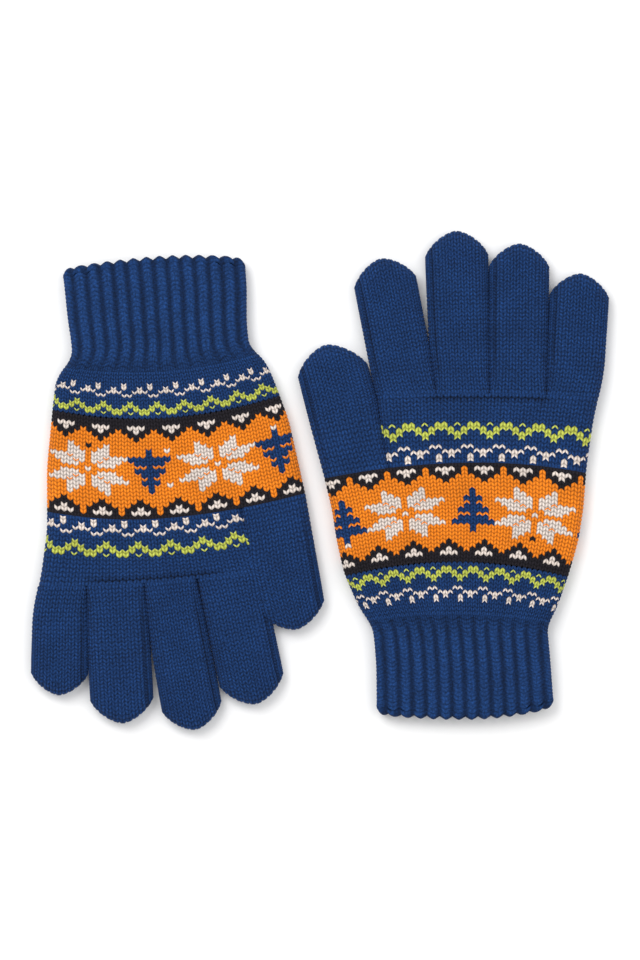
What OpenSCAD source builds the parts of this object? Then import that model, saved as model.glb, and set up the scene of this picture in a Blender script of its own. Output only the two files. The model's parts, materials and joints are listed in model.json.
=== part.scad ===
// A pair of knitted gloves laid flat, palms up, fingers pointing opposite ways.
// Each glove is a set of soft flattened tubes: a ribbed cuff with a finished edge
// and laid-in elastic, a palm knitted in bands, a thumb and four fingers.
// Millimetres. +Z is up, the surface they lie on is z = 0, and the pair's
// bounding box is centred on the origin. Left and right mean the place in the pair.

/* [Fabric] */
// Height of a glove as it lies, both layers and the air between them
thickness = 10; // [9:0.5:12]
// Thickness of one knitted layer
layer = 1.7; // [1.4:0.1:2]
// Clear slit at every fold line and between neighbouring fingers
slit = 0.8; // [0.7:0.1:0.9]

/* [Cuff] */
// Length of the ribbed cuff, left glove and right glove
cuff_length = [45, 43.5]; // [38:0.5:50]
// Half width of the cuff at its mouth
mouth_half_width = 37; // [34:0.5:38]
// Half width of the cuff at the wrist, where the rib draws the palm in
rib_half_width = 38.6; // [38:0.2:40]
// Height of the finished edge at the mouth
edge_height = 2.4; // [1.5:0.1:4]
// Number of elastic yarns laid round the inside of the cuff
elastic_count = 6; // [3:1:7]

/* [Palm] */
// Wrist to the start of the snowflake band, left glove and right glove
band_start = [17.5, 19.7]; // [16:0.1:21]
// Wrist to the thumb fork, where the snowflake band ends
band_end = [60, 63.4]; // [58:0.2:65]
// Wrist to the end of the upper zigzag band
zigzag_end = [78, 81]; // [76:0.5:83]
// Wrist to the knuckle line, where the fingers fold
knuckle = [87.5, 92.4]; // [87:0.1:94]
// Half width at the wrist
wrist_half_width = [41.5, 40.5]; // [40:0.5:43]
// Reach on the thumb side at the start of the snowflake band
thumb_side_start = [47.8, 49.2]; // [46:0.2:51]
// Reach on the thumb side at the thumb fork
thumb_side_fork = [54.6, 57.8]; // [54.2:0.2:60]
// Reach on the little finger side at the start of the snowflake band
little_side_start = [50, 47]; // [45:0.5:52]
// Reach on the little finger side at the thumb fork
little_side_fork = [55.2, 53.5]; // [52:0.1:57]
// Reach of the four-finger palm towards the thumb at the fork
fork_reach = 30; // [29:0.2:30]

/* [Left glove] */
// Turn of the left glove on the surface, degrees
left_turn = 185; // [182:0.5:188]
// Place of the left wrist
left_wrist = [-64.3, 45.6]; // [-70:0.1:60]
// Thumb: centre at the fork, lean towards the thumb side, length, width
left_thumb = [-42.6, 5.8, 52, 23.6]; // [-60:0.1:60]
// Thumb side edge of the index finger at the knuckle line
left_finger_edge = -33.5; // [-34:0.1:-33]
// Root widths of the index, middle, ring and little fingers
left_roots = [28.4, 21.6, 24.2, 21]; // [20:0.1:29]
// Widest part of each finger
left_widths = [26.6, 26, 26, 23.4]; // [22:0.1:27]
// Length of each finger from the knuckle line
left_lengths = [55, 63.3, 57.8, 44]; // [40:0.1:68]
// Lean of each finger towards the thumb side, degrees
left_leans = [6.8, 5.4, -1.9, -6.5]; // [-8:0.1:8]

/* [Right glove] */
// Turn of the right glove on the surface, degrees
right_turn = 0; // [-3:0.5:3]
// Place of the right wrist
right_wrist = [58.8, -56.1]; // [-60:0.1:70]
// Thumb: centre at the fork, lean towards the thumb side, length, width
right_thumb = [-44.3, 10.8, 50.5, 27]; // [-60:0.1:60]
// Thumb side edge of the index finger at the knuckle line
right_finger_edge = -34.3; // [-35:0.1:-34]
// Root widths of the index, middle, ring and little fingers
right_roots = [24.4, 22.3, 23.9, 22.3]; // [21:0.1:26]
// Widest part of each finger
right_widths = [26, 26.4, 24.6, 24.6]; // [23:0.1:27]
// Length of each finger from the knuckle line
right_lengths = [57.6, 68.5, 63.4, 51]; // [45:0.1:72]
// Lean of each finger towards the thumb side, degrees
right_leans = [9.5, 2.2, -1, -3.6]; // [-6:0.1:11]

/* [Hidden] */
$fn = 64;
LEFT = 0;
RIGHT = 1;

INDEX = 0;
MIDDLE = 1;
RING = 2;
LITTLE = 3;

turns = [left_turn, right_turn];
wrists = [left_wrist, right_wrist];
thumbs = [left_thumb, right_thumb];
finger_edges = [left_finger_edge, right_finger_edge];
roots = [left_roots, right_roots];
widths = [left_widths, right_widths];
lengths = [left_lengths, right_lengths];
leans = [left_leans, right_leans];

half_slit = slit / 2;
// The round sides are a touch lower than the flats, so the two never just graze
side_step = 0.1;
side_radius = thickness / 2 - side_step;
// How far a cutting shape runs past the face it cuts
past = 1;
// Larger than any glove, for half-space cuts
span = 400;

// Yarns on the inside of the fabric: height, thickness and clearance to the layer
elastic_height = 1.2;
elastic_thick = 0.5;
strand_height = 0.8;
strand_thick = 0.4;
strand_count = 10;
inside_clear = 0.05;

blue = [0.11, 0.29, 0.52];
orange = [0.98, 0.52, 0.12];
lime = [0.78, 0.86, 0.25];
grey = [0.85, 0.85, 0.85];
black = [0.08, 0.08, 0.10];

// Value on the straight line through (a, value_a) and (b, value_b)
function line_at(x, a, b, value_a, value_b) = value_a + (value_b - value_a) * (x - a) / (b - a);

// Sum of the first n entries of a list
function sum_first(list, n) = n == 0 ? 0 : list[n - 1] + sum_first(list, n - 1);

// Side line f (0 to 4) between fingers at the knuckle line
function root_edge(g, f) = finger_edges[g] + sum_first(roots[g], f);
function root_centre(g, f) = (root_edge(g, f) + root_edge(g, f + 1)) / 2;
// Lean of the side line between finger f - 1 and finger f
function edge_lean(g, f) = (leans[g][f - 1] + leans[g][f]) / 2;
function little_side_knuckle(g) = root_edge(g, 4);

// Middle of a fingertip in the glove's own frame, and in the pair's frame
function tip_centre(g, f) =
    let (reach = lengths[g][f] - widths[g][f] / 2)
    [root_centre(g, f) - reach * sin(leans[g][f]), knuckle[g] + reach * cos(leans[g][f])];
function turned(p, a) = [p.x * cos(a) - p.y * sin(a), p.x * sin(a) + p.y * cos(a)];
function laid(g, p) = wrists[g] + turned(p, turns[g]);

// The tips that reach furthest give the pair's box, and the shift that centres it
reach_right = laid(RIGHT, tip_centre(RIGHT, LITTLE)).x + widths[RIGHT][LITTLE] / 2;
reach_left = laid(LEFT, tip_centre(LEFT, LITTLE)).x - widths[LEFT][LITTLE] / 2;
reach_up = laid(RIGHT, tip_centre(RIGHT, MIDDLE)).y + widths[RIGHT][MIDDLE] / 2;
reach_down = laid(LEFT, tip_centre(LEFT, MIDDLE)).y - widths[LEFT][MIDDLE] / 2;
centring = -[reach_left + reach_right, reach_up + reach_down] / 2;

// Puts a glove, drawn with its wrist at the origin, in its place in the pair
module placed(g) {
    translate([wrists[g].x + centring.x, wrists[g].y + centring.y, 0])
        rotate([0, 0, turns[g]])
            children();
}

// Round side of a flattened tube: a cylinder along the line through (x, y)
// that moves by slope in X for each unit in Y
module round_side(x, y, slope, skin) {
    translate([x, y, thickness / 2])
        rotate([-90, 0, -atan(slope)])
            cylinder(r = side_radius - skin, h = span, center = true);
}

// Solid flattened tube from y0 to y1. Its outline runs from left0 to left1 on one
// side and from right0 to right1 on the other; skin shrinks it all round.
module flat_tube(y0, y1, left0, left1, right0, right1, skin = 0, over = 0) {
    slope_l = (left1 - left0) / (y1 - y0);
    slope_r = (right1 - right0) / (y1 - y0);
    axis_l = left0 + side_radius * sqrt(1 + slope_l * slope_l);
    axis_r = right0 - side_radius * sqrt(1 + slope_r * slope_r);
    low = y0 - over - past;
    high = y1 + over + past;
    intersection() {
        translate([-span / 2, y0 - over, -past])
            cube([span, y1 - y0 + 2 * over, thickness + 2 * past]);
        union() {
            translate([0, 0, skin])
                linear_extrude(thickness - 2 * skin)
                    polygon([
                        [axis_l + slope_l * (low - y0), low],
                        [axis_r + slope_r * (low - y0), low],
                        [axis_r + slope_r * (high - y0), high],
                        [axis_l + slope_l * (high - y0), high]
                    ]);
            round_side(axis_l, y0, slope_l, skin);
            round_side(axis_r, y0, slope_r, skin);
        }
    }
}

// Hollow flattened tube, open at both ends
module sleeve(y0, y1, left0, left1, right0, right1) {
    difference() {
        flat_tube(y0, y1, left0, left1, right0, right1);
        flat_tube(y0, y1, left0, left1, right0, right1, layer, past);
    }
}

// Yarns lying round the inside of a sleeve, count of them, evenly spaced
module inner_yarns(y0, y1, left0, left1, right0, right1, count, height, thick) {
    pitch = (y1 - y0) / count;
    outer_skin = layer + inside_clear;
    for (i = [0 : count - 1]) {
        low = y0 + (i + 0.5) * pitch - height / 2;
        high = low + height;
        edges = [
            line_at(low, y0, y1, left0, left1), line_at(high, y0, y1, left0, left1),
            line_at(low, y0, y1, right0, right1), line_at(high, y0, y1, right0, right1)
        ];
        difference() {
            flat_tube(low, high, edges[0], edges[1], edges[2], edges[3], outer_skin);
            flat_tube(low, high, edges[0], edges[1], edges[2], edges[3], outer_skin + thick, past);
        }
    }
}

// Solid finger form along +Y from below the origin to a half-round tip at the given length
module digit_form(length, width, skin) {
    half = width / 2;
    tip = length - half;
    union() {
        flat_tube(-half, tip, -half, -half, half, half, skin);
        intersection() {
            translate([0, tip, 0])
                rotate_extrude()
                    intersection() {
                        translate([0, skin])
                            square([width, thickness - 2 * skin]);
                        union() {
                            translate([0, skin])
                                square([half - side_radius, thickness - 2 * skin]);
                            translate([half - side_radius, thickness / 2])
                                circle(r = side_radius - skin);
                        }
                    }
            translate([-span / 2, tip, -past])
                cube([span, span, thickness + 2 * past]);
        }
    }
}

// Everything on the far side of a side line through (x, 0) that leans towards -X
module beside(x, lean, side) {
    translate([x, 0, -past])
        rotate([0, 0, lean])
            translate([side > 0 ? 0 : -span, -span / 2, 0])
                cube([span, span, thickness + 2 * past]);
}

// Finger f as a solid at the knuckle line: cut square at the fold and, where it
// has a neighbour, along the side line between them
module finger_solid(g, f, skin, floor_y) {
    intersection() {
        translate([root_centre(g, f), 0, 0])
            rotate([0, 0, leans[g][f]])
                digit_form(lengths[g][f], widths[g][f], skin);
        translate([-span / 2, floor_y, -past])
            cube([span, span, thickness + 2 * past]);
        if (f > INDEX)
            beside(root_edge(g, f) + half_slit + skin, edge_lean(g, f), 1);
        if (f < LITTLE)
            beside(root_edge(g, f + 1) - half_slit - skin, edge_lean(g, f + 1), -1);
    }
}

module finger(g, f) {
    color(blue)
        placed(g)
            translate([0, knuckle[g], 0])
                difference() {
                    finger_solid(g, f, 0, half_slit);
                    finger_solid(g, f, layer, half_slit - past);
                }
}

module thumb_solid(g, skin, floor_y) {
    intersection() {
        translate([thumbs[g][0], 0, 0])
            rotate([0, 0, thumbs[g][1]])
                digit_form(thumbs[g][2], thumbs[g][3], skin);
        translate([-span / 2, floor_y, -past])
            cube([span, span, thickness + 2 * past]);
    }
}

module thumb(g) {
    color(blue)
        placed(g)
            translate([0, band_end[g], 0])
                difference() {
                    thumb_solid(g, 0, half_slit);
                    thumb_solid(g, layer, half_slit - past);
                }
}

// Half width of the cuff at a given distance below the wrist
function cuff_half(g, below) =
    line_at(below, 0, cuff_length[g], rib_half_width, mouth_half_width);

// Hollow stretch of the cuff between two distances below the wrist
module cuff_stretch(g, from, to) {
    top = cuff_half(g, from);
    low = cuff_half(g, to);
    sleeve(-to, -from, -low, -top, low, top);
}

// Ribbed tube
module cuff(g) {
    color(blue)
        placed(g)
            cuff_stretch(g, half_slit, cuff_length[g] - edge_height);
}

// Finished edge round the mouth of the cuff
module cuff_edge(g) {
    color(blue)
        placed(g)
            cuff_stretch(g, cuff_length[g] - edge_height, cuff_length[g]);
}

// Elastic yarns laid round the inside of the rib
module cuff_elastic(g) {
    to = cuff_length[g] - edge_height;
    top = cuff_half(g, half_slit);
    low = cuff_half(g, to);
    color(grey)
        placed(g)
            inner_yarns(
                -to, -half_slit, -low, -top, low, top,
                elastic_count, elastic_height, elastic_thick
            );
}

// Plain and zigzag courses between the wrist and the snowflake band
module wrist_band(g) {
    color(lime)
        placed(g)
            sleeve(
                0, band_start[g],
                -wrist_half_width[g], -thumb_side_start[g],
                wrist_half_width[g], little_side_start[g]
            );
}

// Orange band with its dark borders, up to the thumb fork
module snowflake_band(g) {
    color(orange)
        placed(g)
            sleeve(
                band_start[g], band_end[g],
                -thumb_side_start[g], -thumb_side_fork[g],
                little_side_start[g], little_side_fork[g]
            );
}

// Strands of the resting colours that run behind the snowflake band
module float_strands(g) {
    color(black)
        placed(g)
            inner_yarns(
                band_start[g], band_end[g],
                -thumb_side_start[g], -thumb_side_fork[g],
                little_side_start[g], little_side_fork[g],
                strand_count, strand_height, strand_thick
            );
}

// Four-finger palm beyond the fork, from y0 to y1
module four_finger_sleeve(g, y0, y1) {
    fork = band_end[g];
    line = knuckle[g];
    sleeve(
        y0, y1,
        line_at(y0, fork, line, -fork_reach, root_edge(g, 0)),
        line_at(y1, fork, line, -fork_reach, root_edge(g, 0)),
        line_at(y0, fork, line, little_side_fork[g], little_side_knuckle(g)),
        line_at(y1, fork, line, little_side_fork[g], little_side_knuckle(g))
    );
}

module zigzag_band(g) {
    color(lime)
        placed(g)
            four_finger_sleeve(g, band_end[g], zigzag_end[g]);
}

module knuckle_panel(g) {
    color(blue)
        placed(g)
            four_finger_sleeve(g, zigzag_end[g], knuckle[g] - half_slit);
}

cuff(LEFT);  // left_cuff
cuff_edge(LEFT);  // left_cuff_edge
cuff_elastic(LEFT);  // left_cuff_elastic
wrist_band(LEFT);  // left_wrist_band
snowflake_band(LEFT);  // left_snowflake_band
float_strands(LEFT);  // left_float_strands
zigzag_band(LEFT);  // left_zigzag_band
knuckle_panel(LEFT);  // left_knuckle_panel
thumb(LEFT);  // left_thumb
finger(LEFT, INDEX);  // left_index_finger
finger(LEFT, MIDDLE);  // left_middle_finger
finger(LEFT, RING);  // left_ring_finger
finger(LEFT, LITTLE);  // left_little_finger
cuff(RIGHT);  // right_cuff
cuff_edge(RIGHT);  // right_cuff_edge
cuff_elastic(RIGHT);  // right_cuff_elastic
wrist_band(RIGHT);  // right_wrist_band
snowflake_band(RIGHT);  // right_snowflake_band
float_strands(RIGHT);  // right_float_strands
zigzag_band(RIGHT);  // right_zigzag_band
knuckle_panel(RIGHT);  // right_knuckle_panel
thumb(RIGHT);  // right_thumb
finger(RIGHT, INDEX);  // right_index_finger
finger(RIGHT, MIDDLE);  // right_middle_finger
finger(RIGHT, RING);  // right_ring_finger
finger(RIGHT, LITTLE);  // right_little_finger
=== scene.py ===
"""A pair of knitted gloves laid flat on a pale surface, built stitch by stitch over the CAD frame.

Every tube is one closed round of knitting: wales (columns of stitches) run along it and
courses (rows) run round it. A glove is worked in its own frame in millimetres, with the
wrist at the origin, +Y towards the fingertips and the thumb on the -X side.
"""
import json
import math

import bpy
import numpy as np
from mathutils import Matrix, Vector

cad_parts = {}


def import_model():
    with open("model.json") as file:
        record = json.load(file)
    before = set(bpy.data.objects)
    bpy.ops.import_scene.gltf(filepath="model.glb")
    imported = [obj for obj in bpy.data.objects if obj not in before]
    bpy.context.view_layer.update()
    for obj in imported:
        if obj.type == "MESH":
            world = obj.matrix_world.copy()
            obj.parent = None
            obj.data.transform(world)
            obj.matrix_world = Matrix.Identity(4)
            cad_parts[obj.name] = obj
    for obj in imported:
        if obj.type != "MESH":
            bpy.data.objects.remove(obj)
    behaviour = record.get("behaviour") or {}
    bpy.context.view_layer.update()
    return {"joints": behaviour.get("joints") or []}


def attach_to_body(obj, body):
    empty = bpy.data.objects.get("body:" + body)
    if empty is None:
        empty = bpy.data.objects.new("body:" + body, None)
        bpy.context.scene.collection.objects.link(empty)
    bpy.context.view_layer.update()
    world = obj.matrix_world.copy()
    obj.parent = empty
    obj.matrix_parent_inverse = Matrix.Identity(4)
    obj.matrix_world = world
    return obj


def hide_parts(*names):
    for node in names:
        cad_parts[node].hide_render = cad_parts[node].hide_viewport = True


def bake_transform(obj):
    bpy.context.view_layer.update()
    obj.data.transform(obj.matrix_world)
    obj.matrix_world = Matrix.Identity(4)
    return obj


MM = 0.001
SIDES = ("left", "right")
DIGITS = ("index", "middle", "ring", "little")

# How finely a stitch is drawn
COLUMNS_PER_WALE = 8
ROWS_PER_COURSE = 5
COLUMNS_PER_RIB = 18

# Section of a tube: height of its middle, half height and width of its round sides
MID_HEIGHT = 5.0
HALF_HEIGHT = 4.4
SIDE_WIDTH = 5.0
FINGER_SIDE_WIDTH = 6.5
# The outlines below are measured over the stitches, so the tubes lie inside them by this much
OUTLINE_INSET = 0.6

# Digits: how far neighbours press into each other, the length over which a root turns from
# flat to round, the depth and squareness of the tip's outline and the rounding of its edge
PRESSED = 0.6
ROOT_LENGTH = 18.0
TIP_SHARE = 0.44
TIP_POWER = 1.55
TIP_ROUND = 7.0
TIP_BUMPS = 0.5
# Tips' courses start to curve this many tip depths from the end, stitches stop slanting this
# near to it, and a side pressed against a neighbour starts out with this share of its rounding
GATHER_TIPS = 2.2
SLANT_FADE = 6.0
PRESSED_ROUNDING = 0.16
# A crease inside a digit's thumb side, a groove in the surface that the painted shade of the hollows also
# darkens: distance from the edge, width and depth
CREASE_IN, CREASE_WIDTH, CREASE_DEPTH = 2.8, 0.55, 0.35
# A free side of a finger leaves the palm's outline over this length
FREE_SIDE_LENGTH = 16.0
# Where two fingers' sides meet, the corner between free side and shared side is this soft
SHARED_SOFTNESS = 0.4

# Relief of the knitting, and how far the legs of a stitch slant, in courses
STITCH_RELIEF = 0.7
STITCH_SLANT = 1.2
COVERED_ROWS = 2
# Height of plain knitting at an end that meets other knitting, as a share of its relief
LEVEL_SHARE = 0.6
# How strongly single wales are set off along the tube, in courses
UNEVEN = 0.5
# A soft fold across the palm below the knuckles, a dip in the surface that the painted shade of the hollows
# also darkens:
# courses down, width in courses and depth, then where it starts and ends across the palm and the length over
# which it fades
FOLD_AT, FOLD_WIDTH, FOLD_DEPTH = 1.2, 0.6, 0.25
FOLD_START, FOLD_END, FOLD_FADE = -18, 42, 8
# The cuff's rib: relief, slant in courses, softness of the V's point and courses it grows over
RIB_RELIEF = 1.05
RIB_SLANT = 2.0
RIB_SOFT = 0.12
RIB_START = 4.0
PLAIN_WALES_PER_RIB = 3

# Cuff: how much flatter it is than the palm and over how many courses it gets so, its corner
# and the last share of the cuff that has the corner, its lip and its lining's rows
CUFF_THINNING = 0.5
THINNING_COURSES = 5.0
CORNER = 3.4
CORNER_SHARE = 1 / 8
LIP_RADIUS = 0.8
LIP_ROWS = 6
LINING_ROWS = 24
# Within this distance of the cuff's middle line its faces count as flat
FLAT_REACH = 30.0

# Yarns inside: distance from the tube's surface, radius and how finely they are drawn
YARN_INSET = 3.0
FLOAT_RADIUS = 0.3
FLOAT_COUNT = 10
ELASTIC_RADIUS = 0.45
ELASTIC_COUNT = 6
YARN_WAVE, YARN_WAVES = 0.25, 20
YARN_SIDE_WIDTH = 3.0
YARN_STEPS = 160
YARN_SIDES = 6
# Gap between the last float strand and the fork, height of the first elastic yarn, and gap
# between the last one and the cuff's mouth
FLOAT_END_GAP = 6
ELASTIC_START, ELASTIC_END_GAP = -8, 9

# Folds: where the cuff's fold starts and ends and a digit's fold length; no piece is bent at them
CUFF_BEND = (-5, -17)
DIGIT_BEND = 14

# Stitches counted round each face
PALM_WALES = 42
WRIST_WALES = 44
FOUR_FINGER_WALES = 34
THUMB_WALES = 12
FINGER_WALES = {"index": 12, "middle": 12, "ring": 11, "little": 11}
CUFF_RIBS = 14
DIGIT_COURSE = 1.7

# Courses from the knuckle line down to the wrist, band by band
KNUCKLE_COURSES = 7
ZIGZAG_COURSES = 9
SNOWFLAKE_COURSES = 26
WRIST_COURSES = 13
CUFF_COURSES = 24
EDGE_COURSES = 1.2

BLUE, LIME, WHITE, ORANGE, BLACK, ELASTIC = range(6)
# Added to a colour whose stitch shows only as a thin line between its neighbours
THIN = 10

# The two gloves as they lie, in millimetres.
#   thumb_side, little_side: outline of the palm as (y, x)
#   fork_x: where the four-finger palm starts on the thumb side, at the fork and at the knuckles
#   lines: centre height, crest x and sag on the thumb and little sides of each band's end course
#   zero_wale, finger_zero: wale on the middle line of the palm and of the four-finger palm
#   cuff_low: wales from the middle line to the low points of the lime and white wrist zigzags
#   thumb_edges: outline of the thumb as (y, x) in its own frame, palm side last
#   lengths, widths, roots, leans: the four fingers' sizes and turns, from index to little
GLOVES = {
    "left": dict(
        thumb_side=((-45, -37.2), (-33, -37.2), (-17, -35.8), (-7, -36), (-3, -40), (0.5, -42.5),
                    (8, -45), (24.5, -49.6), (45, -52.4), (62, -54.6)),
        little_side=((-45, 39.3), (-25, 39), (-15, 38.3), (-9, 38.5), (-4, 43), (-0.5, 46), (8, 47.8),
                     (16, 49.3), (36, 53), (62, 55.2), (79, 59), (88, 61.6)),
        fork_x=(-28.1, -34.1),
        lines=((87.5, 5, 0.0004, 0.0008), (76.7, 5, 0.0010, 0.0022), (61.2, 4, 0.0016, 0.0028),
               (19.6, -2, 0.0026, 0.0030), (0.0, -3, 0.0030, 0.0026), (-47.0, 3, -0.0024, -0.0014)),
        zero_wale=21, finger_zero=13, cuff_low=(1, 4),
        thumb_edges=(((0, -11.6), (26, -11.3), (44, -11.0)), ((0, 16.2), (23, 18.6), (36, 18.0), (44, 17.0))),
        thumb_length=52.5, thumb_lift=0.9,
        lengths=(55.0, 63.3, 57.8, 44.0), widths=(27.4, 26.6, 26.6, 24.2),
        roots=(28.4, 21.6, 24.2, 21.0), leans=(6.8, 5.4, -1.9, -6.5), thumb_lean=5.8,
    ),
    "right": dict(
        thumb_side=((-44, -34.8), (-22, -35), (-9, -36), (-4.4, -37), (0, -40), (4, -42.6),
                    (17.6, -48.5), (31, -51.5), (44.5, -53.6), (64, -58.4)),
        little_side=((-44, 39.4), (-37, 39.4), (-20, 38.2), (-5, 36.8), (1.5, 40), (4, 41.2),
                     (17.6, 46), (31, 49.8), (44.5, 51.9), (62, 53.2), (81, 56), (93, 58.6)),
        fork_x=(-31.6, -34.9),
        lines=((92.4, 5, 0.0005, 0.0006), (80.4, 5, 0.0009, 0.0011), (63.5, 8, 0.0016, 0.0022),
               (22.0, -2, 0.0028, 0.0028), (0.0, -3, 0.0022, 0.0022), (-42.8, 2, -0.0015, -0.0036)),
        zero_wale=20, finger_zero=12, cuff_low=(1, 3),
        thumb_edges=(((0, -13.6), (18, -15.0), (42, -16.4)), ((0, 14.4), (26, 14.6), (42, 13.2))),
        thumb_length=50.8, thumb_lift=0.0,
        lengths=(57.6, 68.2, 62.8, 50.4), widths=(26.4, 27.0, 25.4, 25.2),
        roots=(24.4, 22.3, 23.9, 22.3), leans=(11.0, 2.2, -0.6, -3.6), thumb_lean=10.8,
    ),
}


# ---------------------------------------------------------------- placing a glove

class Place:
    """Where a glove's own frame lies in the pair's frame, read from the CAD joints."""

    def __init__(self, side, joints):
        self.side = side
        wrist = joints[side + "_wrist_fold"]
        self.origin = np.array(wrist["pos_m"][:2]) / MM
        self.across = -np.array(wrist["axis"][:2], float)
        self.along = np.array([-self.across[1], self.across[0]])
        self.digit_roots = {name: self.local(joints[f"{side}_{name}_fold"]["pos_m"])
                            for name in ("thumb",) + DIGITS}

    def local(self, point_m):
        offset = np.array(point_m[:2]) / MM - self.origin
        return np.array([offset @ self.across, offset @ self.along])

    def world(self, points):
        """Glove-frame points in mm, as an (..., 3) array, to the pair's frame in metres."""
        points = np.asarray(points, float)
        flat = self.origin + points[..., :1] * self.across + points[..., 1:2] * self.along
        return np.concatenate([flat, points[..., 2:3]], axis=-1) * MM


def smooth_line(points, reach=3.0):
    """x as a smooth function of y through (y, x) points: straight pieces with softened corners."""
    ys = np.array([p[0] for p in points], float)
    xs = np.array([p[1] for p in points], float)
    far = 60.0
    ys = np.concatenate([[ys[0] - far], ys, [ys[-1] + far]])
    first = xs[0] - far * (xs[1] - xs[0]) / (ys[2] - ys[1])
    last = xs[-1] + far * (xs[-1] - xs[-2]) / (ys[-2] - ys[-3])
    xs = np.concatenate([[first], xs, [last]])

    def line(y):
        steps = np.linspace(-reach, reach, 5)
        return sum(np.interp(y + step, ys, xs) for step in steps) / len(steps)
    return line


# ---------------------------------------------------------------- the section of a tube

def section(turn, half_width, near_side, far_side, half_height):
    """Point of a flattened tube's section at a share of the way round.

    turn runs 0 to 1 over the top from the thumb side to the little side and 1 to 2 back
    underneath. near_side and far_side are the widths of its two round sides. Gives x from
    the middle and z from the mid height.
    """
    under = turn > 1
    share = np.where(under, 2 - turn, turn)

    def arc(width):
        return math.pi / 2 * np.sqrt((width ** 2 + half_height ** 2) / 2)

    total = arc(near_side) + arc(far_side) + 2 * half_width - near_side - far_side
    run = share * total
    near = math.pi / 2 * np.clip(run / arc(near_side), 0, 1)
    far = math.pi / 2 * np.clip((total - run) / arc(far_side), 0, 1)
    from_near = -half_width + near_side + run - arc(near_side)
    x = np.where(near < math.pi / 2, -half_width + near_side * (1 - np.cos(near)),
                 np.where(far < math.pi / 2, half_width - far_side * (1 - np.cos(far)), from_near))
    z = half_height * np.minimum(np.sin(near), np.sin(far))
    return x, np.where(under, -z, z)


# ---------------------------------------------------------------- stitches

def stitch_height(across, along):
    """Relief of plain knitting, 0 to 1. across is -0.5 to 0.5 over a wale, along 0 to 1 in a course."""
    leg = np.clip((np.abs(across) - 0.25) / 0.27, -1, 1)
    legs = np.sqrt(1 - leg * leg)
    loop = np.sin(math.pi * np.clip(along, 0, 1)) ** 0.7
    return legs * (0.4 + 0.6 * loop)


def rib_height(across, along):
    """Relief of the cuff's rib: columns of broad V stitches with a soft valley between them."""
    column = (0.5 + 0.5 * np.cos(2 * math.pi * across)) ** 0.7
    leg = np.clip((np.abs(across) - 0.17) / 0.2, -1, 1)
    legs = np.sqrt(1 - leg * leg)
    legs = np.where(np.abs(across) < 0.17, np.maximum(legs, 0.4), np.maximum(legs, 0.35))
    loop = np.sin(math.pi * np.clip(along, 0, 1)) ** 0.7
    return (0.4 + 0.6 * column) * (0.45 + 0.55 * legs * (0.25 + 0.75 * loop))


def wobble(count, seed, reach):
    """One small seeded offset for each wale or course, so the knitting isn't machine perfect."""
    return np.random.default_rng(seed).uniform(-reach, reach, count)


class Knit:
    """A grid of points over a round of knitting, with its stitch coordinates."""

    def __init__(self, wales, courses, columns, first_course=0.0, slant=STITCH_SLANT, soft=0.0, seed=1):
        self.wales = 2 * wales
        self.courses = courses
        self.columns = columns
        rows = int(round(courses * ROWS_PER_COURSE))
        column = np.arange(self.wales * columns)
        row = np.arange(rows + 1)
        self.across = (column % columns) / columns - 0.5
        self.turn = np.broadcast_to(column / (wales * columns), (rows + 1, len(column)))
        self.course = row / ROWS_PER_COURSE + first_course
        self.along = self.course % 1.0
        lift = slant * (0.25 - np.sqrt(self.across ** 2 + soft ** 2))
        self.lift = np.broadcast_to(lift, self.turn.shape)
        self.down = np.broadcast_to(self.course[:, None], self.turn.shape)
        wale_of = column // columns
        self.uneven = wobble(self.wales, seed, 0.10)[wale_of][None, :]

    def relief(self, height, from_start=0, from_end=0):
        """Relief of plain stitches, without a notch at an end that meets other knitting."""
        raised = stitch_height(self.across[None, :], self.along[:, None])
        first = np.clip(5 * (self.down - self.course[0]), 0, 1) if from_start else 1.0
        last = np.clip(5 * (self.course[-1] - self.down), 0, 1) if from_end else 1.0
        level = first * last
        return height * (raised * level + LEVEL_SHARE * (1 - level))

    def cut_level(self, from_start, from_end):
        """1 inside the piece and 0 at an end that meets another kind of knitting, so it ends level."""
        first = np.clip(self.down - self.course[0], 0, 1) if from_start else 1.0
        last = np.clip(self.course[-1] - self.down, 0, 1) if from_end else 1.0
        return first * last


def surface_normals(points, outward_from):
    """Unit normals of a wrapped grid of points, facing away from the tube's middle line."""
    round_way = np.roll(points, -1, axis=1) - np.roll(points, 1, axis=1)
    long_way = np.gradient(points, axis=0)
    normal = np.cross(round_way, long_way)
    length = np.linalg.norm(normal, axis=2, keepdims=True)
    normal = normal / np.maximum(length, 1e-9)
    facing = np.sum(normal * (points - outward_from), axis=2)
    if np.sum(facing) < 0:
        normal = -normal
    return normal


def yarn_mesh(name, points, quads, colours, relief, materials):
    """A smooth mesh of quads with a palette number for each face and the relief of each point, from which the
    yarn materials paint shade into the hollows.
    """
    mesh = bpy.data.meshes.new(name)
    mesh.vertices.add(len(points))
    mesh.vertices.foreach_set("co", points.astype(np.float32).ravel())
    mesh.loops.add(quads.size)
    mesh.loops.foreach_set("vertex_index", quads.astype(np.int32).ravel())
    mesh.polygons.add(len(quads))
    mesh.polygons.foreach_set("loop_start", np.arange(0, quads.size, 4, dtype=np.int32))
    used = np.unique(colours)
    for colour in used:
        mesh.materials.append(materials[colour])
    mesh.update(calc_edges=True)
    mesh.polygons.foreach_set("material_index", np.searchsorted(used, colours).astype(np.int32))
    mesh.polygons.foreach_set("use_smooth", np.ones(len(quads), bool))
    # The relief share, read by the yarn materials for their painted shade.
    depth = mesh.attributes.new("relief", "FLOAT", "POINT")
    depth.data.foreach_set("value", relief.astype(np.float32))
    mesh.update()
    piece = bpy.data.objects.new(name, mesh)
    bpy.context.scene.collection.objects.link(piece)
    return piece


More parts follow.
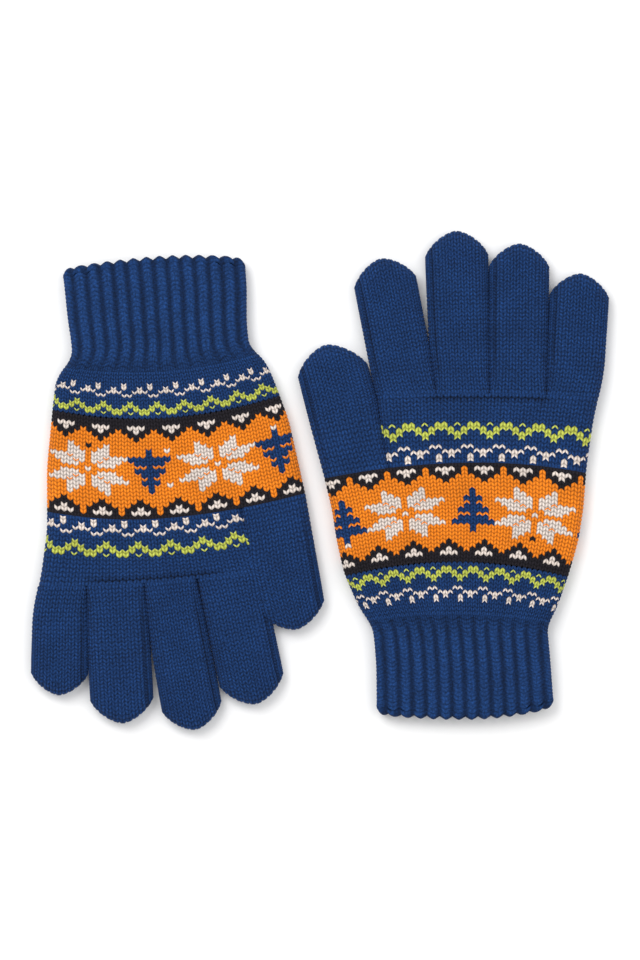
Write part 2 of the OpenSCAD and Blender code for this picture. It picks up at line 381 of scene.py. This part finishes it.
def grid_quads(rows, columns, wrap_rows=False):
    """Quads of a grid whose columns close into a ring, and whose rows do too if asked."""
    index = np.arange(rows * columns).reshape(rows, columns)
    right = np.roll(index, -1, axis=1)
    up, up_right = np.roll(index, -1, axis=0), np.roll(right, -1, axis=0)
    last = rows if wrap_rows else rows - 1
    return np.stack([up, up_right, right, index], axis=-1)[:last].reshape(-1, 4)


# ---------------------------------------------------------------- colour charts

def triangle_row(row, step):
    """Colour in a dark border course: step is the wales from the middle of a white triangle."""
    if row == 0:
        return BLACK
    if row == 1:
        return ORANGE if step == 3 else (WHITE if step <= 1 else BLACK)
    if row == 2:
        return ORANGE if step == 3 else (WHITE if step == 0 else BLACK)
    if row == 3:
        return BLACK if step <= 1 else ORANGE
    return BLACK if step == 0 else ORANGE


def wrist_triangle_row(row, step):
    """The border on the wrist side: the same triangles point the other way."""
    if row >= 4:
        return BLACK
    if row == 3:
        return BLACK if step > 1 else WHITE
    if row == 2:
        return ORANGE if step == 3 else (WHITE if step == 0 else BLACK)
    if row == 1:
        return BLACK if step <= 1 else ORANGE
    return BLACK if step == 0 else ORANGE


# White stitches of a snowflake from its middle: course distance -> wale distances
SNOWFLAKE = {6: (3,), 5: (2, 3), 4: (1, 2, 3), 3: (1, 2, 4, 5, 6), 2: (1, 3, 4, 5), 1: (2, 3, 4), 0: (0,)}
# The two small notches in each quarter of a snowflake, as (course distance, wale distance)
NOTCHES = ((3, 3), (2, 2))
FLAKE_MIDDLE_ROW = 7
# Half widths of the tree, from its tip to its stem
TREE = (0, 0, 1, 0, 1, 2, 0, 2, 3, 0, 0)
TREE_FIRST_ROW = 2
ORANGE_COURSES = 15
BORDER_COURSES = 5
# Wales after which a motif repeats, and where its middles lie
MOTIF_REPEAT, TRIANGLE_REPEAT = 21, 6
FLAKE_OFFSET, TREE_OFFSET, TRIANGLE_OFFSET = 8, -3, 1
# Odd stitches of the real pair, as (wale, row) of the orange ground
ODD_STITCHES = {(-18, 13): WHITE, (13, 13): BLACK}
ODD_LEFT_STITCHES = {(0, 12): WHITE, (0, 3): WHITE}


def from_middle(wale, offset, repeat):
    """Wales to the nearest middle of a motif that repeats."""
    return abs((wale + offset + repeat // 2) % repeat - repeat // 2)


def snowflake_band_colour(wale, course, odd):
    """Colour of a stitch in the snowflake band; wale counts from the palm's middle line."""
    step = from_middle(wale, TRIANGLE_OFFSET, TRIANGLE_REPEAT)
    if course < BORDER_COURSES:
        return triangle_row(course, step)
    row = course - BORDER_COURSES
    if row >= ORANGE_COURSES:
        return wrist_triangle_row(row - ORANGE_COURSES, step)
    if (wale, row) in odd:
        return odd[(wale, row)]
    flake = from_middle(wale, FLAKE_OFFSET, MOTIF_REPEAT)
    flake_row = abs(row - FLAKE_MIDDLE_ROW)
    if (flake_row, flake) in NOTCHES:
        return ORANGE + THIN
    if flake in SNOWFLAKE.get(flake_row, ()):
        return WHITE
    tree = from_middle(wale, TREE_OFFSET, MOTIF_REPEAT)
    tree_row = row - TREE_FIRST_ROW
    if 0 <= tree_row < len(TREE) and tree <= TREE[tree_row]:
        return BLUE
    return ORANGE


# Lime and white zigzags over five wales: the courses knitted in the colour, for each wale
LIME_ZIGZAG = ((1, 2), (0, 1), (0, 1), (1, 2), (2, 3))
WHITE_ZIGZAG = ((0,), (0, 2, 3), (1,), (1, 2), (1,))


def zigzag_colour(wale, row, lime_low, white_low):
    """Colour of a stitch in a nine-course zigzag band: four lime, one blue, four white."""
    step = (wale - lime_low + 4) % 5
    if row == 0 and step == 4:
        return LIME + THIN
    if 0 <= row < 4:
        return LIME if row in LIME_ZIGZAG[step] else BLUE
    if row < 5 or row > 8:
        return BLUE
    return WHITE if row - 5 in WHITE_ZIGZAG[(wale - white_low + 3) % 5] else BLUE


def paint(knit, chart):
    """Palette number of every face of a grid, from a chart of (wale, course).

    The blue yarn is the dominant one: it hides the foot of another colour's stitch above it.
    """
    rows = len(knit.course) - 1
    courses = int(math.ceil(knit.courses))
    stitches = np.array([[chart(wale, course) for wale in range(knit.wales)]
                         for course in range(courses + 1)])
    row = np.arange(rows)
    course_of = row // ROWS_PER_COURSE
    within = (row % ROWS_PER_COURSE)[:, None]
    wale_of = np.arange(knit.wales * knit.columns) // knit.columns
    own = stitches[course_of][:, wale_of]
    following = stitches[course_of + 1][:, wale_of] % THIN
    foot = (within >= ROWS_PER_COURSE - COVERED_ROWS) & (following == BLUE)
    thin = (own >= THIN) & ((within < 1) | (within > 2))
    return np.where(foot | thin, following, own % THIN)


# ---------------------------------------------------------------- yarn materials

def yarn(name, shade, light, dark, rough=0.9, fibre=0.35, sheen=0.12):
    """Soft spun yarn: heathered colour, with painted shade that darkens it in the hollows of the relief, and
    fine fibres.
    """
    material = bpy.data.materials.new(name)
    material.use_nodes = True
    nodes = material.node_tree.nodes
    links = material.node_tree.links
    shader = nodes["Principled BSDF"]
    shader.inputs["Roughness"].default_value = rough
    shader.inputs["Specular IOR Level"].default_value = 0.15
    shader.inputs["Sheen Weight"].default_value = sheen
    shader.inputs["Sheen Roughness"].default_value = 0.5
    place = nodes.new("ShaderNodeTexCoord")
    heather = nodes.new("ShaderNodeTexNoise")
    heather.inputs["Scale"].default_value = 1400
    heather.inputs["Detail"].default_value = 3
    links.new(place.outputs["Object"], heather.inputs["Vector"])
    patch = nodes.new("ShaderNodeTexNoise")
    patch.inputs["Scale"].default_value = 90
    patch.inputs["Detail"].default_value = 2
    links.new(place.outputs["Object"], patch.inputs["Vector"])
    tones = nodes.new("ShaderNodeValToRGB")
    tones.color_ramp.elements[0].position = 0.28
    tones.color_ramp.elements[0].color = (*dark, 1)
    tones.color_ramp.elements[1].position = 0.72
    tones.color_ramp.elements[1].color = (*light, 1)
    middle = tones.color_ramp.elements.new(0.5)
    middle.color = (*shade, 1)
    links.new(heather.outputs["Fac"], tones.inputs["Fac"])
    clouds = nodes.new("ShaderNodeMapRange")
    clouds.inputs["From Min"].default_value = 0.3
    clouds.inputs["From Max"].default_value = 0.7
    clouds.inputs["To Min"].default_value = 0.90
    clouds.inputs["To Max"].default_value = 1.10
    links.new(patch.outputs["Fac"], clouds.inputs["Value"])
    # Painted shade: the colour darkens where the stored relief is low, in the hollows between and within
    # stitches.
    depth = nodes.new("ShaderNodeAttribute")
    depth.attribute_name = "relief"
    painted_hollow_shade = nodes.new("ShaderNodeMapRange")
    painted_hollow_shade.inputs["From Min"].default_value = 0.0
    painted_hollow_shade.inputs["From Max"].default_value = 0.95
    painted_hollow_shade.inputs["To Min"].default_value = 0.08
    painted_hollow_shade.inputs["To Max"].default_value = 1.0
    links.new(depth.outputs["Fac"], painted_hollow_shade.inputs["Value"])
    # Random tone patches times the painted shade of the hollows.
    both = nodes.new("ShaderNodeMath")
    both.operation = "MULTIPLY"
    links.new(clouds.outputs["Result"], both.inputs[0])
    links.new(painted_hollow_shade.outputs["Result"], both.inputs[1])
    tint = nodes.new("ShaderNodeVectorMath")
    tint.operation = "SCALE"
    links.new(tones.outputs["Color"], tint.inputs[0])
    links.new(both.outputs["Value"], tint.inputs["Scale"])
    links.new(tint.outputs["Vector"], shader.inputs["Base Color"])
    strands = nodes.new("ShaderNodeTexNoise")
    strands.inputs["Scale"].default_value = 2600
    strands.inputs["Detail"].default_value = 4
    links.new(place.outputs["Object"], strands.inputs["Vector"])
    bump = nodes.new("ShaderNodeBump")
    bump.inputs["Strength"].default_value = fibre
    bump.inputs["Distance"].default_value = 0.0003
    links.new(strands.outputs["Fac"], bump.inputs["Height"])
    links.new(bump.outputs["Normal"], shader.inputs["Normal"])
    return material


def linear(r, g, b):
    """An sRGB colour of 0 to 255 values in Blender's linear colour."""
    return tuple(((c / 255 + 0.055) / 1.055) ** 2.4 if c > 10 else c / 3295 for c in (r, g, b))


def shades(r, g, b, spread):
    """The middle, light and dark tone of a yarn, as keyword values for yarn()."""
    def tone(k):
        return linear(*(min(255, c * k) for c in (r, g, b)))
    return dict(shade=tone(1), light=tone(1 + spread), dark=tone(1 - spread))


def make_palette():
    return {
        BLUE: yarn("blue_yarn", **shades(25, 57, 106, 0.28), sheen=0.05),
        LIME: yarn("lime_yarn", **shades(194, 202, 88, 0.12)),
        WHITE: yarn("white_yarn", **shades(232, 218, 208, 0.06)),
        ORANGE: yarn("orange_yarn", **shades(248, 136, 30, 0.08)),
        BLACK: yarn("black_yarn", **shades(33, 30, 36, 0.2), sheen=0.05),
        ELASTIC: yarn("elastic_yarn", **shades(196, 202, 212, 0.06), rough=0.6),
    }


def make_floor_material():
    material = bpy.data.materials.new("pale_floor")
    material.use_nodes = True
    nodes = material.node_tree.nodes
    shader = nodes["Principled BSDF"]
    shader.inputs["Roughness"].default_value = 0.9
    shader.inputs["Specular IOR Level"].default_value = 0.1
    grain = nodes.new("ShaderNodeTexNoise")
    grain.inputs["Scale"].default_value = 40
    tones = nodes.new("ShaderNodeValToRGB")
    tones.color_ramp.elements[0].color = (0.93, 0.93, 0.93, 1)
    tones.color_ramp.elements[1].color = (0.96, 0.96, 0.96, 1)
    material.node_tree.links.new(grain.outputs["Fac"], tones.inputs["Fac"])
    material.node_tree.links.new(tones.outputs["Color"], shader.inputs["Base Color"])
    return material


# ---------------------------------------------------------------- building pieces

def finish_grid(name, place, base, relief, colours, palette, spine):
    """Raises the stitches on a base grid, in glove millimetres, and makes the mesh."""
    points = place.world(base + surface_normals(base, spine) * relief[..., None])
    rows, columns = relief.shape
    # Relief as a share of its highest point, for the painted shade in the hollows.
    share = relief / max(relief.max(), 1e-6)
    return yarn_mesh(name, points.reshape(-1, 3), grid_quads(rows, columns), colours.ravel(),
                     share.ravel(), palette)


def course_line(glove, end, x):
    """y of a band's end course at x: highest at its crest and sagging to both sides."""
    centre, crest, thumb_sag, little_sag = glove["lines"][end]
    sag = np.where(x < crest, thumb_sag, little_sag)
    return centre - sag * (x - crest) ** 2


def band_height(glove, down, x, courses, line):
    """y of a course in a band, between the lines at both of its ends."""
    share = down / courses
    return course_line(glove, line, x) * (1 - share) + course_line(glove, line + 1, x) * share


def palm_band(place, glove, name, wales, courses, line, outline, chart, palette, seed, level=(0, 0)):
    """One band of the palm between two course lines, inside the palm's outline.

    level says for its first and last course whether they end level against other knitting.
    """
    knit = Knit(wales, courses, COLUMNS_PER_WALE, seed=seed)
    left, right = outline
    x = np.zeros(knit.turn.shape)
    pitch = (glove["lines"][line][0] - glove["lines"][line + 1][0]) / courses
    lift = knit.lift * knit.cut_level(*level)
    for _ in range(3):
        y = band_height(glove, knit.down, x, courses, line)
        y = y + pitch * (lift + UNEVEN * knit.uneven * np.sin(math.pi * knit.down / courses))
        middle = (left(y) + right(y)) / 2
        half = (right(y) - left(y)) / 2 - OUTLINE_INSET
        dx, dz = section(knit.turn, half, SIDE_WIDTH, SIDE_WIDTH, HALF_HEIGHT)
        x = middle + dx
    base = np.stack([x, y, MID_HEIGHT + dz], axis=-1)
    spine = np.stack([middle, y, np.full_like(y, MID_HEIGHT)], axis=-1)
    relief = knit.relief(STITCH_RELIEF, *level)
    if line == 0:
        # The fold lowers the surface, and the painted shade of the hollows darkens it.
        relief = relief - fold_depth(knit.down, x)
    return finish_grid(f"{place.side}_{name}_knit", place, base, relief, paint(knit, chart), palette, spine)


def fold_depth(down, x):
    """Depth of the soft fold below the knuckles, which runs under the middle and ring fingers."""
    across = np.clip((x - FOLD_START) / FOLD_FADE, 0, 1) * np.clip((FOLD_END - x) / FOLD_FADE, 0, 1)
    return FOLD_DEPTH * across * np.exp(-((down - FOLD_AT) / FOLD_WIDTH) ** 2)


def digit(place, glove, name, root, lean, length, edges, sides, wales, root_line, palette, seed, lift=0.0):
    """A finger or thumb: a flattened tube with a round closed tip.

    edges gives the x of its two sides in its own frame as functions of y, and sides says for
    each whether it is free or starts out pressed flat against a neighbour. Its first course
    lies on the glove's course line number root_line.
    """
    length = length - OUTLINE_INSET
    width = edges[1](length / 2) - edges[0](length / 2)
    tip = TIP_SHARE * width
    courses = int(round(length / DIGIT_COURSE))
    knit = Knit(wales, courses, COLUMNS_PER_WALE, seed=seed)
    turn = math.radians(lean)
    gather = length - GATHER_TIPS * tip
    plain = knit.down / courses * length
    fade = np.clip(1 - plain / ROOT_LENGTH, 0, 1)
    rounding = PRESSED_ROUNDING + (1 - PRESSED_ROUNDING) * plain / ROOT_LENGTH
    round_side = FINGER_SIDE_WIDTH * np.clip(rounding, 0, 1)
    x = np.zeros(knit.turn.shape)
    y = plain
    middle = np.zeros_like(x)
    for _ in range(4):
        edge = np.clip(np.abs(x - middle) / (width / 2), 0, 1)
        end = length - tip * (1 - (1 - edge ** TIP_POWER) ** (1 / TIP_POWER))
        gx = root[0] + x * math.cos(turn) - y * math.sin(turn)
        start = (course_line(glove, root_line, gx) - root[1] - x * math.sin(turn)) / math.cos(turn)
        end = end + TIP_BUMPS * np.cos(math.pi * knit.across)
        lift_y = DIGIT_COURSE * (knit.lift * knit.cut_level(1, 0) + UNEVEN * knit.uneven * (1 - fade))
        y = np.where(plain < gather, plain,
                     gather + (end - gather) * (plain - gather) / (length - gather))
        y = y + start * fade + lift_y * np.clip((end - y) / SLANT_FADE, 0, 1)
        left, right = edges[0](y), edges[1](y)
        middle = (left + right) / 2
        near, far = (np.maximum(round_side, SIDE_WIDTH) if free else round_side for free in sides)
        dx, dz = section(knit.turn, (right - left) / 2 - OUTLINE_INSET, near, far, HALF_HEIGHT)
        x = middle + dx
    close = np.clip((end - y) / TIP_ROUND, 0, 1)
    dz = dz * np.sqrt(np.clip(1 - (1 - close) ** 2, 0, 1))
    rise = lift * np.clip(x / (width / 2), 0, 1) * (1 - fade)
    gx = root[0] + x * math.cos(turn) - y * math.sin(turn)
    gy = root[1] + x * math.sin(turn) + y * math.cos(turn)
    base = np.stack([gx, gy, MID_HEIGHT + dz + rise], axis=-1)
    sx = root[0] + middle * math.cos(turn) - y * math.sin(turn)
    sy = root[1] + middle * math.sin(turn) + y * math.cos(turn)
    spine = np.stack([sx, sy, np.full_like(y, MID_HEIGHT)], axis=-1)
    relief = knit.relief(STITCH_RELIEF, 1)
    # The crease lowers the surface along the thumb side, and the painted shade of the hollows darkens it.
    side_crease = np.exp(-((x - left - CREASE_IN) / CREASE_WIDTH) ** 2) * (1 - fade) * (dz > 0)
    relief = relief * (1 - CREASE_DEPTH * side_crease) - 0.3 * CREASE_DEPTH * side_crease
    colours = np.full((len(knit.course) - 1, relief.shape[1]), BLUE)
    return finish_grid(f"{place.side}_{name}_knit", place, base, relief, colours, palette, spine)


def finger(place, glove, f, outline, palette, seed):
    """Finger f, kept between the side lines it shares with its neighbours or the palm's outline."""
    name = DIGITS[f]
    root_x, root_y = place.digit_roots[name]
    lean = glove["leans"][f]
    half = glove["widths"][f] / 2
    root_half = glove["roots"][f] / 2

    def side(sign, neighbour):
        if neighbour is None:
            palm_half = abs(outline[0 if sign < 0 else 1](root_y) - root_x)

            def edge(y):
                grow = np.clip(y / FREE_SIDE_LENGTH, 0, 1)
                return sign * (palm_half + (half - palm_half) * grow * (2 - grow))
            return edge
        opening = math.tan(math.radians((glove["leans"][neighbour] - lean) / 2))

        def edge(y):
            shared = root_half - sign * opening * np.maximum(y, 0) + PRESSED
            return sign * (half - SHARED_SOFTNESS * np.logaddexp(0, (half - shared) / SHARED_SOFTNESS))
        return edge

    edges = (side(-1, f - 1 if f > 0 else None), side(1, f + 1 if f < 3 else None))
    return digit(place, glove, name + "_finger", place.digit_roots[name], lean, glove["lengths"][f],
                 edges, (f == 0, f == 3), FINGER_WALES[name], 0, palette, seed)


def thumb(place, glove, palette, seed):
    """The thumb, between its own two outlines, set into the palm's end on the thumb side."""
    edges = tuple(smooth_line(line) for line in glove["thumb_edges"])
    return digit(place, glove, "thumb", place.digit_roots["thumb"], glove["thumb_lean"],
                 glove["thumb_length"], edges, (True, False), THUMB_WALES, 2, palette, seed,
                 glove["thumb_lift"])


def cuff_courses_at(glove, down, x):
    """y of a cuff course at x, between the wrist line and the mouth line."""
    share = np.clip(down / CUFF_COURSES, 0, 1)
    return course_line(glove, 4, x) * (1 - share) + course_line(glove, 5, x) * share


def cuff_surface(glove, outline, turn, down, lift, inset, beyond):
    """Points of the cuff's surface, set in by inset and carried beyond the course line."""
    left, right = outline
    x = np.zeros(turn.shape)
    thin = CUFF_THINNING * np.clip(down / THINNING_COURSES, 0, 1)
    cornered = np.clip((down / CUFF_COURSES - 1 + CORNER_SHARE) / CORNER_SHARE, 0, 1)
    for _ in range(3):
        y = cuff_courses_at(glove, down, x) + lift - beyond
        middle = (left(y) + right(y)) / 2
        half = (right(y) - left(y)) / 2 - OUTLINE_INSET
        corner = np.clip((np.abs(x - middle) - half + CORNER) / CORNER, 0, 1)
        y = y + CORNER * (1 - np.sqrt(1 - corner ** 2)) * cornered
        dx, dz = section(turn, half - inset, SIDE_WIDTH - inset, SIDE_WIDTH - inset,
                         HALF_HEIGHT - thin - inset)
        x = middle + dx
    base = np.stack([x, y, MID_HEIGHT + dz], axis=-1)
    spine = np.stack([middle, y, np.full_like(y, MID_HEIGHT)], axis=-1)
    return base, spine


def cuff_course_height(glove):
    """Height of one course of the cuff, in mm."""
    return (glove["lines"][4][0] - glove["lines"][5][0]) / CUFF_COURSES


def rib_relief(knit, down):
    """The rib's relief, growing out of plain wales over its first courses."""
    plain_across = (PLAIN_WALES_PER_RIB * (knit.across + 0.5)) % 1.0 - 0.5
    plain = STITCH_RELIEF * stitch_height(plain_across[None, :], knit.along[:, None])
    first = np.clip(1 - 5 * down, 0, 1)
    plain = plain * (1 - first) + LEVEL_SHARE * STITCH_RELIEF * first
    rib = RIB_RELIEF * rib_height(knit.across[None, :], knit.along[:, None])
    grown = np.clip(down / RIB_START, 0, 1)
    return plain * (1 - grown) + rib * grown


def cuff_tube(place, glove, outline, palette, seed):
    """The ribbed tube, down to where its finished edge begins."""
    knit = Knit(CUFF_RIBS, CUFF_COURSES - EDGE_COURSES, COLUMNS_PER_RIB, slant=-RIB_SLANT,
                soft=RIB_SOFT, seed=seed)
    pitch = cuff_course_height(glove)
    lift = knit.lift * pitch * knit.cut_level(1, 0)
    zero = np.zeros(knit.turn.shape)
    base, spine = cuff_surface(glove, outline, knit.turn, knit.down, lift, zero, zero)
    relief = rib_relief(knit, knit.down)
    colours = np.full((len(knit.course) - 1, relief.shape[1]), BLUE)
    return finish_grid(f"{place.side}_cuff_knit", place, base, relief, colours, palette, spine)


def cuff_edge(place, glove, outline, palette, seed):
    """The finished edge: the last rib course, a turned lip and the lining it turns into."""
    start = CUFF_COURSES - EDGE_COURSES
    knit = Knit(CUFF_RIBS, EDGE_COURSES, COLUMNS_PER_RIB, first_course=start, slant=-RIB_SLANT,
                soft=RIB_SOFT, seed=seed)
    pitch = cuff_course_height(glove)
    roll = np.linspace(0, math.pi, LIP_ROWS + 1)[1:]
    lining = np.linspace(CUFF_COURSES, 0, LINING_ROWS + 1)[1:]
    outer = len(knit.course)
    down = np.concatenate([knit.course, np.full(LIP_ROWS, CUFF_COURSES), lining])
    inset = np.concatenate([np.zeros(outer), LIP_RADIUS * (1 - np.cos(roll)),
                            np.full(LINING_ROWS, 2 * LIP_RADIUS)])
    beyond = np.concatenate([np.zeros(outer), LIP_RADIUS * np.sin(roll), np.zeros(LINING_ROWS)])
    columns = len(knit.across)
    shape = (len(down), columns)
    turn = np.broadcast_to(knit.turn[:1], shape)
    down, inset, beyond = (np.broadcast_to(a[:, None], shape) for a in (down, inset, beyond))
    lift = np.broadcast_to(knit.lift[:1], shape) * pitch
    base, spine = cuff_surface(glove, outline, turn, down, lift, inset, beyond)
    outside = rib_relief(knit, knit.down)
    around = np.cos(roll)[:, None] * 0.5 + 0.5
    lip = outside[-1:] * around + 0.35 * RIB_RELIEF * (1 - around)
    inside = np.repeat(lip[-1:], LINING_ROWS, axis=0)
    # This relief only feeds the painted shade, while raised shapes the surface: the lip is painted darker as
    # it turns in, and the lining evenly darker.
    relief = np.concatenate([outside, lip, inside])
    raised = np.concatenate([outside, lip * np.cos(roll)[:, None], -inside * 0.4])
    points = place.world(base + outward(base, spine) * raised[..., None])
    share = np.clip(relief / RIB_RELIEF, 0, 1)
    colours = np.full((shape[0] - 1) * columns, BLUE)
    return yarn_mesh(f"{place.side}_cuff_edge_knit", points.reshape(-1, 3), grid_quads(*shape), colours,
                     share.ravel(), palette)


def outward(base, spine):
    """Unit direction from the tube's middle plane outwards across its section."""
    away = base - spine
    away[..., 0] *= np.clip((np.abs(away[..., 0]) / FLAT_REACH) ** 8, 0, 1)
    return away / np.maximum(np.linalg.norm(away, axis=2, keepdims=True), 1e-9)


def inner_yarns(place, name, outline, heights, radius, colour, palette):
    """Round yarns laid once round the inside of the glove, one at each height."""
    left, right = outline
    turn = np.linspace(0, 2, YARN_STEPS, endpoint=False)
    ring = np.linspace(0, 2 * math.pi, YARN_SIDES, endpoint=False)
    points, quads = [], []
    for number, height in enumerate(heights):
        middle = (left(height) + right(height)) / 2
        half = (right(height) - left(height)) / 2 - OUTLINE_INSET - YARN_INSET
        dx, dz = section(turn, half, YARN_SIDE_WIDTH, YARN_SIDE_WIDTH, HALF_HEIGHT - YARN_INSET)
        wave = YARN_WAVE * np.sin(2 * math.pi * YARN_WAVES * turn + number)
        path = np.stack([middle + dx, height + wave, MID_HEIGHT + dz], axis=-1)
        away = np.stack([dx / half, np.zeros_like(dx), dz / HALF_HEIGHT], axis=-1)
        away = away / np.linalg.norm(away, axis=1, keepdims=True)
        tube = (path[:, None] + radius * np.cos(ring)[None, :, None] * away[:, None]
                + radius * np.sin(ring)[None, :, None] * np.array([0, 1, 0]))
        quads.append(grid_quads(YARN_STEPS, YARN_SIDES, wrap_rows=True) + number * YARN_STEPS * YARN_SIDES)
        points.append(tube.reshape(-1, 3))
    points = place.world(np.concatenate(points))
    quads = np.concatenate(quads)
    return yarn_mesh(f"{place.side}_{name}_yarns", points, quads, np.full(len(quads), colour),
                     np.ones(len(points)), palette)


def build_glove(side, joints, palette):
    place = Place(side, joints)
    glove = GLOVES[side]
    lines = glove["lines"]
    palm = (smooth_line(glove["thumb_side"]), smooth_line(glove["little_side"]))
    fork = ((lines[2][0], glove["fork_x"][0]), (lines[0][0], glove["fork_x"][1]))
    four_fingers = (smooth_line(fork, reach=0.5), palm[1])
    zero, finger_zero = glove["zero_wale"], glove["finger_zero"]
    lime_low, white_low = glove["cuff_low"]

    def plain(wale, course):
        return BLUE

    def finger_zigzag(wale, course):
        return zigzag_colour(wale - finger_zero, course, 0, -1)

    odd = ODD_STITCHES | (ODD_LEFT_STITCHES if side == "left" else {})

    def snowflakes(wale, course):
        return snowflake_band_colour(wale - zero, course, odd)

    def wrist_zigzag(wale, course):
        return zigzag_colour(wale - zero - 1, course - 1, lime_low, white_low)

    made = {
        "knuckle_panel": palm_band(place, glove, "knuckle_panel", FOUR_FINGER_WALES, KNUCKLE_COURSES, 0,
                                   four_fingers, plain, palette, 11, (1, 0)),
        "zigzag_band": palm_band(place, glove, "zigzag_band", FOUR_FINGER_WALES, ZIGZAG_COURSES, 1,
                                 four_fingers, finger_zigzag, palette, 12, (0, 1)),
        "snowflake_band": palm_band(place, glove, "snowflake_band", PALM_WALES, SNOWFLAKE_COURSES, 2,
                                    palm, snowflakes, palette, 13, (1, 0)),
        "wrist_band": palm_band(place, glove, "wrist_band", WRIST_WALES, WRIST_COURSES, 3,
                                palm, wrist_zigzag, palette, 14, (0, 1)),
        "cuff": cuff_tube(place, glove, palm, palette, 15),
        "cuff_edge": cuff_edge(place, glove, palm, palette, 15),
        "thumb": thumb(place, glove, palette, 16),
        "float_strands": inner_yarns(
            place, "float_strands", palm, np.linspace(lines[3][0], lines[2][0] - FLOAT_END_GAP, FLOAT_COUNT),
            FLOAT_RADIUS, BLACK, palette),
        "cuff_elastic": inner_yarns(
            place, "cuff_elastic", palm,
            np.linspace(ELASTIC_START, lines[5][0] + ELASTIC_END_GAP, ELASTIC_COUNT),
            ELASTIC_RADIUS, ELASTIC, palette),
    }
    for f, name in enumerate(DIGITS):
        made[name + "_finger"] = finger(place, glove, f, four_fingers, palette, 17 + f)
    return place, made


def attach(side, place, made):
    """Puts the palm's pieces on the hand's body; the cuff's and digits' pieces stay where they are built, on
    no body and unbent. Hides the CAD parts they stand for.
    """
    hand = side + "_hand"
    slots = {"knuckle_panel": "blue_knit", "zigzag_band": "zigzag_knit", "wrist_band": "zigzag_knit",
             "snowflake_band": "snowflake_knit", "float_strands": "float_yarn"}
    for name, slot in slots.items():
        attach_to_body(made[name], hand)
        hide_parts(f"{side}_{name}")

    def bend(node, start, end):
        points = place.world(np.array([[*start, MID_HEIGHT], [*end, MID_HEIGHT]]))
        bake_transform(made[node])
        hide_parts(f"{side}_{node}")

    for node, slot in (("cuff", "blue_rib"), ("cuff_edge", "blue_rib"), ("cuff_elastic", "elastic")):
        bend(node, (0, CUFF_BEND[0]), (0, CUFF_BEND[1]))
    for name in ("thumb",) + DIGITS:
        x, y = place.digit_roots[name]
        bend(name if name == "thumb" else name + "_finger", (x, y),
             (x, y + DIGIT_BEND))


# ---------------------------------------------------------------- stage

# Place, size and power of each soft light, and the studio's own brightness
SOFTBOXES = (((-0.6, 0.7, 1.3), 0.9, 14), ((0.7, 0.2, 1.5), 1.2, 7))
STUDIO_BRIGHTNESS = 0.66
# Height of the picture on the floor, and the camera's height over it
VIEW_HEIGHT = 0.4032
CAMERA_HEIGHT = 1.6


def add_stage():
    bpy.ops.mesh.primitive_plane_add(size=4)
    floor = bpy.context.object
    floor.name = "floor"
    floor.data.materials.append(make_floor_material())
    world = bpy.data.worlds.new("studio")
    bpy.context.scene.world = world
    world.use_nodes = True
    world.node_tree.nodes["Background"].inputs["Color"].default_value = (1, 1, 1, 1)
    world.node_tree.nodes["Background"].inputs["Strength"].default_value = STUDIO_BRIGHTNESS
    for place, size, power in SOFTBOXES:
        light = bpy.data.lights.new("softbox", "AREA")
        light.size = size
        light.energy = power
        lamp = bpy.data.objects.new("softbox", light)
        lamp.location = place
        lamp.rotation_euler = (-Vector(place)).to_track_quat("-Z", "Y").to_euler()
        bpy.context.scene.collection.objects.link(lamp)


def add_camera():
    """Straight down over the pair, with the framing of a 2:3 upright picture."""
    data = bpy.data.cameras.new("camera")
    data.sensor_fit = "VERTICAL"
    data.sensor_height = 36
    data.lens = data.sensor_height * CAMERA_HEIGHT / VIEW_HEIGHT
    camera = bpy.data.objects.new("camera", data)
    camera.location = (0, 0, CAMERA_HEIGHT)
    bpy.context.scene.collection.objects.link(camera)
    bpy.context.scene.camera = camera


def set_plain_colours():
    """Colours shown as they are, without a film-like curve, as in a product picture."""
    bpy.context.scene.view_settings.view_transform = "Standard"


def main():
    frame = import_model()
    joints = {joint["name"]: joint for joint in frame["joints"]}
    palette = make_palette()
    for side in SIDES:
        place, made = build_glove(side, joints, palette)
        attach(side, place, made)
    add_stage()
    add_camera()
    set_plain_colours()


main()
